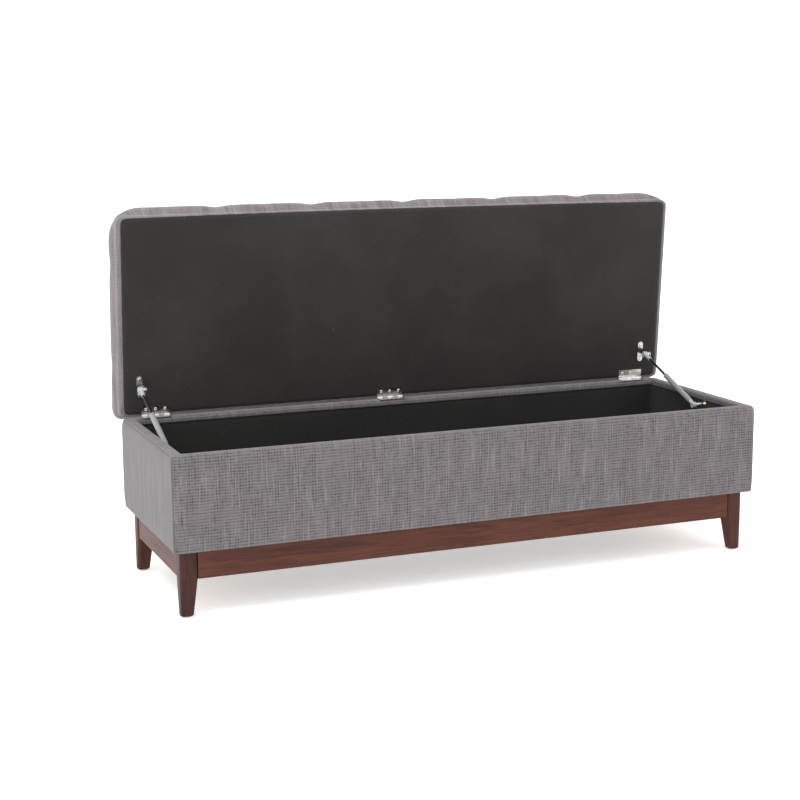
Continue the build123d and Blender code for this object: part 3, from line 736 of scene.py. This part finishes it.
def staple_row(name, width, depth, number, z):
    """Staples round a rectangle under the box, each a little out of line with the last."""
    sizes = {"Width": width, "Depth": depth, "Number": number, "Crown": 0.0105, "Wire": 0.00045, "Seed": 4}
    b = Repeat(name, sizes)
    path = b.node(
        "GeometryNodeCurvePrimitiveQuadrilateral", {}, {"Width": b.given["Width"], "Height": b.given["Depth"]}
    )
    spaced = b.node("GeometryNodeResampleCurve", {}, {"Curve": path, "Count": b.given["Number"]})
    wire = b.node("GeometryNodeMeshCylinder", {}, {"Vertices": 8, "Radius": 1.0, "Depth": 1.0})
    thin = b.scaled(wire, b.given["Wire"], b.given["Wire"], b.given["Crown"])
    tangent = b.node("GeometryNodeInputTangent", {}, {})
    along = b.node("FunctionNodeAlignRotationToVector", {"axis": "Z"}, {"Vector": tangent})
    askew = b.node(
        "FunctionNodeRandomValue", {"data_type": "FLOAT_VECTOR"},
        {"Min": (0, 0, -0.16), "Max": (0, 0, 0.16), "Seed": b.given["Seed"]},
    )
    turned = b.node("FunctionNodeRotateRotation", {}, {"Rotation": along, "Rotate By": askew})
    spots = b.node(
        "GeometryNodeInstanceOnPoints", {}, {"Points": spaced, "Instance": thin, "Rotation": turned}
    )
    piece = b.piece(spots, ZINC)
    piece.data.transform(Matrix.Translation((0, BOX_Y, z)))
    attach(piece, "root")


def lay_flat(piece):
    """Gives each face its place on the cloth by looking straight down on it."""
    mesh = piece.data
    while mesh.uv_layers:
        mesh.uv_layers.remove(mesh.uv_layers[0])
    layer = mesh.uv_layers.new(name="cloth")
    for loop in mesh.loops:
        layer.data[loop.index].uv = mesh.vertices[loop.vertex_index].co.xy


# ------------------------------------------------------------------ cloth rings of the box

RUN_CELL = 0.010
CORNER_STEPS = 7
OUTER_CORNER = 0.010
CORNER_RUN = 0.0157
COVER_CLOTH = 0.0012
WALL_CLOTH = 0.0008
FLOOR_CLOTH = 0.0010
UNDER_CLOTH = 0.0007


def box_ring(inset, corner):
    """Points round the box at an inset, and how far along the outer edge each one is."""
    long_side = HALF - inset - corner
    short_side = BOX_HALF_DEPTH - inset - corner
    outer = [HALF - OUTER_CORNER, BOX_HALF_DEPTH - OUTER_CORNER]
    points, along, gone = [], [], 0.0
    runs = [(0, -1), (1, 0), (0, 1), (-1, 0)]
    for number, facing in enumerate(runs):
        side = long_side if number % 2 == 0 else short_side
        other = short_side if number % 2 == 0 else long_side
        full = 2 * outer[number % 2]
        steps = round(full / RUN_CELL)
        heading = (-facing[1], facing[0])
        for step in range(steps + 1):
            t = step / steps
            travel = -side + 2 * side * t
            out = other + corner
            points.append((heading[0] * travel + facing[0] * out, heading[1] * travel + facing[1] * out))
            along.append(gone + full * t)
        gone += full
        for step in range(1, CORNER_STEPS):
            angle = step / CORNER_STEPS * math.pi / 2
            centre = (heading[0] * side + facing[0] * other, heading[1] * side + facing[1] * other)
            sine, cosine = corner * math.sin(angle), corner * math.cos(angle)
            points.append(
                (centre[0] + facing[0] * cosine + heading[0] * sine,
                 centre[1] + facing[1] * cosine + heading[1] * sine)
            )
            along.append(gone + CORNER_RUN * step / CORNER_STEPS)
        gone += CORNER_RUN
    return np.array(points) + np.array([0.0, BOX_Y]), np.array(along), gone


def ring_sheet(name, section, material):
    """Cloth that follows a section of (inset, height, corner radius) right round the box."""
    points, quads, cloth = [], [], []
    climbed, last = [0.0], section[0]
    for inset, height, _ in section[1:]:
        climbed.append(climbed[-1] + math.hypot(inset - last[0], height - last[1]))
        last = (inset, height)
    for inset, height, corner in section:
        ring, along, whole = box_ring(inset, corner)
        points.extend((x, y, height) for x, y in ring)
    count = len(ring)
    for row in range(len(section) - 1):
        for n in range(count):
            after = (n + 1) % count
            end = along[after] if after else whole
            quads.append(
                (row * count + n, row * count + after, (row + 1) * count + after, (row + 1) * count + n)
            )
            low, high = climbed[row], climbed[row + 1]
            cloth.extend([(along[n], low), (end, low), (end, high), (along[n], high)])
    return make_piece(name, points, quads, material, cloth)


def arc(centre, radius, start, end, steps):
    """Points of a section on an arc, as (inset, height)."""
    angles = np.linspace(math.radians(start), math.radians(end), steps)
    return [(centre[0] + radius * math.cos(a), centre[1] + radius * math.sin(a)) for a in angles]


def thicken(piece, thickness):
    solid = piece.modifiers.new("cloth_thickness", "SOLIDIFY")
    solid.thickness = thickness
    solid.offset = -1.0
    settle(piece)


def box_fabric():
    """The box's cover: hem under the box, outside, over the rim and down inside."""
    roll = 0.009
    inner_roll = 0.008
    rim_width = 0.028
    outline = [(0.024, BASE_Z), (0.014, BASE_Z), (0.005, BASE_Z), (0.0012, BASE_Z + 0.0006)]
    outline += [(0.0, z) for z in np.linspace(BASE_Z + 0.003, RIM_Z - roll, 22)]
    outline += arc((roll, RIM_Z - roll), roll, 180, 90, 7)[1:]
    outline += [(0.0145, RIM_Z)]
    outline += arc((rim_width - inner_roll, RIM_Z - inner_roll), inner_roll, 90, 0, 6)
    outline += [(rim_width, RIM_Z - 0.0115), (rim_width - 0.0008, RIM_Z - 0.0128), (0.0255, RIM_Z - 0.0131)]
    section = [(inset, z, max(OUTER_CORNER - inset, 0.003)) for inset, z in outline]
    piece = ring_sheet("box_fabric", section, UPHOLSTERY)

    # Wadding swells the faces a little, and the cloth is never quite flat
    points, normals = read_points(piece)
    height = (points[:, 2] - BASE_Z) / (RIM_Z - BASE_Z)
    face = smooth_step(height / 0.15) * smooth_step((1 - height) / 0.12)
    swell = face * (0.0016 + 0.0011 * lumps(points, 7.0, 3)) + 0.00035 * lumps(points, 38.0, 4)
    swell *= smooth_step(height / 0.03)
    normals[:, 2] = np.minimum(normals[:, 2], 0.0)
    move_points(piece, points + normals * swell[:, None])
    # The box's ends get the calmer cloth painted darker: painted shade
    calm_painted_light_sides(piece, END_UPHOLSTERY_PAINTED_SHADE, lambda normal: abs(normal.x) > 0.75)
    thicken(piece, COVER_CLOTH)
    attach(piece, "root")
    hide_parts("box_cover")


def box_lining():
    """Black cloth on the walls, loose enough to stand off them in places, with soft folds at the corners."""
    low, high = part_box("box_wall_lining")
    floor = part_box("box_floor_lining")[1].z
    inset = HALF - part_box("box_floor_lining")[1].x
    section = [(inset, z, 0.006) for z in np.linspace(floor + 0.0004, high.z - 0.0006, 14)]
    piece = ring_sheet("box_wall_cloth", section[::-1], BOX_LINING)
    points, normals = read_points(piece)
    height = (points[:, 2] - floor) / (high.z - floor)
    free = np.sin(math.pi * np.clip(height, 0, 1)) ** 0.5
    ripple = 0.5 + 0.5 * lumps(points * np.array([1.0, 1.0, 0.25]), 11.0, 5)
    corner_x = np.clip(1 - (HALF - inset - np.abs(points[:, 0])) / 0.05, 0, 1)
    corner_y = np.clip(1 - (BOX_HALF_DEPTH - inset - np.abs(points[:, 1] - BOX_Y)) / 0.05, 0, 1)
    near_corner = corner_x * corner_y
    fold = near_corner * (0.5 + 0.5 * np.sin(points[:, 0] * 160 + points[:, 1] * 130))
    inward = free * (0.0022 * ripple + 0.0035 * fold) + 0.0003
    move_points(piece, points + normals * inward[:, None])
    thicken(piece, WALL_CLOTH)
    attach(piece, "root")
    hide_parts("box_wall_lining")


def flat_cloth(name, low, high, corner, cell, material):
    """A flat sheet between two corners of a rectangle, with rounded corners, in its own plane."""
    nx, ny = round((high[0] - low[0]) / cell), round((high[1] - low[1]) / cell)
    xs, ys = np.linspace(low[0], high[0], nx + 1), np.linspace(low[1], high[1], ny + 1)
    points = np.array([(x, y) for x in xs for y in ys])
    inner = np.clip(points, np.array(low) + corner, np.array(high) - corner)
    lean = points - inner
    most = np.abs(lean).max(axis=1, keepdims=True)
    length = np.maximum(np.linalg.norm(lean, axis=1, keepdims=True), 1e-9)
    points = inner + lean * most / length
    quads = [
        (i * (ny + 1) + j, (i + 1) * (ny + 1) + j, (i + 1) * (ny + 1) + j + 1, i * (ny + 1) + j + 1)
        for i in range(nx)
        for j in range(ny)
    ]
    cloth = [points[n] for face in quads for n in face]
    edge = np.minimum(np.minimum(points[:, 0] - low[0], high[0] - points[:, 0]),
                      np.minimum(points[:, 1] - low[1], high[1] - points[:, 1]))
    flat = np.column_stack([points, np.zeros(len(points))])
    return make_piece(name, flat, quads, material, cloth), flat, edge


def floor_cloth():
    low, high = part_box("box_floor_lining")
    piece, flat, edge = flat_cloth("box_floor_cloth", low.xy, high.xy, 0.002, 0.012, BOX_LINING)
    ripple = 0.0012 * (0.5 + 0.5 * lumps(flat, 8.0, 6)) * smooth_step(edge / 0.03)
    flat[:, 2] = high.z + ripple
    move_points(piece, flat)
    thicken(piece, FLOOR_CLOTH)
    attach(piece, "root")
    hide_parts("box_floor_lining")


def underside_cloths():
    """The black cloth under the lid and the one under the box, both stapled at their edges."""
    inset = 0.005
    low = (-HALF + inset, LID_FRONT + inset)
    high = (HALF - inset, LID_REAR - inset)
    piece, flat, edge = flat_cloth("lid_underside_cloth", low, high, 0.012, 0.008, LID_LINING)
    staple = 0.0005 * np.cos((flat[:, 0] + flat[:, 1]) * 2 * math.pi / 0.042)
    loose = smooth_step(edge / 0.03)
    sag = 0.0004 * (0.5 + 0.5 * lumps(flat, 6.0, 7)) * loose
    rim_turn = 0.0008 * (1 - smooth_step(edge / 0.004))
    flat[:, :2] += (np.sign(flat[:, :2]) * (staple * (1 - loose))[:, None]) * 0.4
    forward = np.clip((LID_MID - flat[:, 1]) / (LID_DEPTH / 2), 0, 1) ** 2
    flat[:, 1] -= 0.0042 * forward * (1 - (flat[:, 0] / HALF) ** 2)
    flat[:, 2] = PIN_TO_CLOTH - sag + rim_turn
    turn_over(piece, flat)
    thicken(piece, UNDER_CLOTH)
    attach(open_lid(piece), "lid")
    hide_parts("lid_dust_cover")

    low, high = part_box("underside_dust_cover")
    piece, flat, edge = flat_cloth("box_underside_cloth", low.xy, high.xy, 0.004, 0.012, BOX_LINING)
    hang = 0.0025 * (0.4 + 0.6 * lumps(flat, 5.0, 8) ** 2) * smooth_step(edge / 0.08)
    flat[:, 2] = low.z - hang
    turn_over(piece, flat)
    thicken(piece, UNDER_CLOTH)
    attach(piece, "root")
    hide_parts("underside_dust_cover")


def turn_over(piece, points):
    """Places the points and makes the faces look down."""
    piece.data.flip_normals()
    move_points(piece, points)


# ------------------------------------------------------------------ finishes on the kept parts

def finish_kept_parts():
    finishes = {
        "rail_front": WALNUT_ALONG, "rail_rear": WALNUT_ALONG,
        "rail_left": WALNUT_ACROSS, "rail_right": WALNUT_ACROSS,
        "leg_glides": GLIDE_PLASTIC, "corner_brace_bolts": NICKEL, "cleat_screws": ZINC,
        "wall_brackets": ZINC, "wall_bracket_screws": ZINC, "wall_ball_studs": NICKEL,
        "hinge_base_screws": NICKEL, "hinge_lid_screws": NICKEL, "lid_bracket_screws": NICKEL,
    }
    for end in ("front", "rear"):
        finishes[f"rail_cleat_{end}"] = BOARD
        finishes[f"box_{end}_board"] = BOARD
        for side in ("left", "right"):
            finishes[f"leg_{end}_{side}"] = WALNUT_UPRIGHT
    for place in ("left", "middle", "right"):
        finishes[f"hinge_{place}_lid_leaf"] = LEAF_NICKEL
        for part in ("base_leaf", "pin"):
            finishes[f"hinge_{place}_{part}"] = NICKEL
    for side in ("left", "right"):
        finishes[f"box_{side}_board"] = BOARD
        finishes[f"lid_bracket_{side}"] = LEAF_NICKEL
        finishes[f"strut_{side}_cylinder"] = TUBE_PAINT
        finishes[f"strut_{side}_rod"] = ROD_STEEL
        finishes[f"strut_{side}_gland"] = GLAND_PLASTIC
        finishes[f"strut_{side}_piston"] = GLAND_PLASTIC
        finishes[f"strut_{side}_lower_socket"] = SOCKET_PLASTIC
        finishes[f"strut_{side}_upper_socket"] = SOCKET_PLASTIC
        finishes[f"strut_{side}_lid_ball_stud"] = NICKEL
    for node in ("box_floor_board", "lid_board", "corner_braces"):
        finishes[node] = BOARD
    finishes["hinge_right_lid_leaf"] = NICKEL
    finishes["leg_front_left"] = finishes["leg_rear_right"] = WALNUT_STREAKED
    for node, material in finishes.items():
        frame["nodes"][node].material_slots[0].material = material


# ------------------------------------------------------------------ camera, light and floor

CAMERA_LENS = 73.9
CAMERA_PLACE = (-1.474, -3.378, 1.036)
CAMERA_TURN = -22.25
CAMERA_DROP = 10.30
CAMERA_ROLL = -0.30
KEY_POWER = 82
FILL_POWER = 14
SKY = 1.06


def set_camera():
    data = bpy.data.cameras.new("camera")
    data.lens = CAMERA_LENS
    data.sensor_width = 36.0
    data.clip_end = 50.0
    camera = bpy.data.objects.new("camera", data)
    bpy.context.scene.collection.objects.link(camera)
    turn = Matrix.Rotation(math.radians(CAMERA_TURN), 4, "Z")
    tilt = Matrix.Rotation(math.radians(90 - CAMERA_DROP), 4, "X")
    roll = Matrix.Rotation(math.radians(CAMERA_ROLL), 4, "Z")
    camera.matrix_world = Matrix.Translation(CAMERA_PLACE) @ turn @ tilt @ roll
    bpy.context.scene.camera = camera


def area_light(name, place, aim, size, power):
    data = bpy.data.lights.new(name, "AREA")
    data.shape = "RECTANGLE"
    data.size, data.size_y = size
    data.energy = power
    light = bpy.data.objects.new(name, data)
    light.location = place
    light.rotation_euler = (Vector(aim) - Vector(place)).to_track_quat("-Z", "Y").to_euler()
    bpy.context.scene.collection.objects.link(light)


def set_stage():
    bpy.context.scene.view_settings.view_transform = "Standard"
    area_light("key", (-1.5, -0.8, 3.5), (0, -0.05, 0.3), (2.2, 2.2), KEY_POWER)
    area_light("fill", (2.8, -3.4, 2.2), (0, 0, 0.3), (2.0, 2.0), FILL_POWER)
    world = bpy.data.worlds.new("studio")
    world.use_nodes = True
    background = world.node_tree.nodes["Background"].inputs
    background["Color"].default_value = grey(1.0)
    background["Strength"].default_value = SKY
    bpy.context.scene.world = world
    floor = make_piece(
        "floor", [(-30, -30, 0), (30, -30, 0), (30, 30, 0), (-30, 30, 0)], [(0, 1, 2, 3)], floor_finish()
    )


def floor_finish():
    f = Finish("pale_floor", Roughness=0.9, Specular_IOR_Level=0.1, Emission_Strength=0.45)
    f.shader.inputs["Base Color"].default_value = grey(0.98)
    f.shader.inputs["Emission Color"].default_value = grey(1.0)
    return f.material


lid_cushion()
lid_buttons()
box_fabric()
hem_width, hem_depth = 2 * (HALF - HEM_INSET), 2 * (BOX_HALF_DEPTH - HEM_INSET)
staple_row("hem_staples", hem_width, hem_depth, HEM_STAPLES, BASE_Z - 0.0003)
cloth_low, cloth_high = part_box("underside_dust_cover")
cloth_width = 2 * (cloth_high.x - CLOTH_INSET)
cloth_depth = cloth_high.y - cloth_low.y - 2 * CLOTH_INSET
staple_row("cloth_staples", cloth_width, cloth_depth, CLOTH_STAPLES, cloth_low.z - 0.0012)
box_lining()
floor_cloth()
underside_cloths()
finish_kept_parts()
set_camera()
set_stage()
